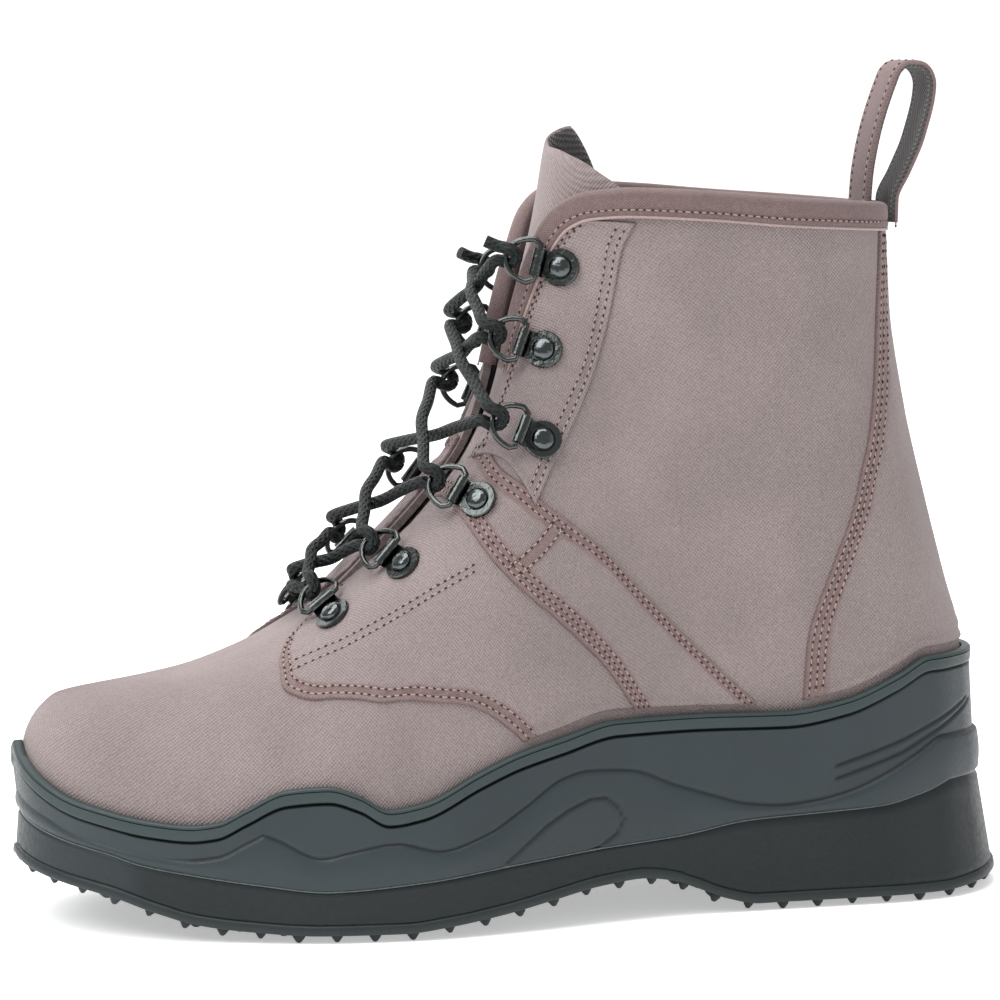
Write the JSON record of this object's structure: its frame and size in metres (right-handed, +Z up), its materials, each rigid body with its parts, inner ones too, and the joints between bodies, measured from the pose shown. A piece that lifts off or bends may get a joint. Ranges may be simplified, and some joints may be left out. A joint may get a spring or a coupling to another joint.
{
  "type": "wading boot",
  "caption": "Left ankle-high wading boot with a rimmed rubber sole, padded tongue, ring eyelets, laces and a heel pull loop.",
  "frame": {"origin": "on the floor, in the middle of the flat block under the heel, 45 mm ahead of the heel's back edge", "axes": "+X towards the heel (the toe points along -X), -Y towards the outer side of this left boot, +Z up"},
  "size_m": [0.3147, 0.1148, 0.261],
  "materials": {
    "canvas": "woven, matt",
    "binding_tape": "woven tape, matt",
    "midsole_foam": "moulded foam, satin",
    "outsole_rubber": "moulded rubber, matt",
    "lining": "knitted, matt",
    "plated_steel": "dark nickel plate, glossy",
    "lace_cord": "braided, matt"
  },
  "bodies": {
    "root": {"outsole": "outsole_rubber", "midsole": "midsole_foam", "insole": "lining", "upper": "canvas", "tongue": "canvas", "quarter_lateral": "canvas", "quarter_medial": "canvas", "strap_lateral": "canvas", "strap_medial": "canvas", "facing_lateral": "canvas", "facing_medial": "canvas", "backstay": "canvas", "collar_binding": "binding_tape", "pull_loop": "binding_tape", "eyelet_lateral_1": "plated_steel", "eyelet_lateral_2": "plated_steel", "eyelet_lateral_3": "plated_steel", "eyelet_lateral_4": "plated_steel", "eyelet_lateral_5": "plated_steel", "eyelet_lateral_6": "plated_steel", "eyelet_medial_1": "plated_steel", "eyelet_medial_2": "plated_steel", "eyelet_medial_3": "plated_steel", "eyelet_medial_4": "plated_steel", "eyelet_medial_5": "plated_steel", "eyelet_medial_6": "plated_steel", "ring_lateral_1": "plated_steel", "ring_lateral_2": "plated_steel", "ring_lateral_3": "plated_steel", "ring_lateral_4": "plated_steel", "ring_lateral_5": "plated_steel", "ring_lateral_6": "plated_steel", "ring_medial_1": "plated_steel", "ring_medial_2": "plated_steel", "ring_medial_3": "plated_steel", "ring_medial_4": "plated_steel", "ring_medial_5": "plated_steel", "ring_medial_6": "plated_steel", "lace_bar": "lace_cord", "lace_cross_1": "lace_cord", "lace_cross_2": "lace_cord", "lace_cross_3": "lace_cord", "lace_cross_4": "lace_cord", "lace_cross_5": "lace_cord"}
  },
  "joints": []
}
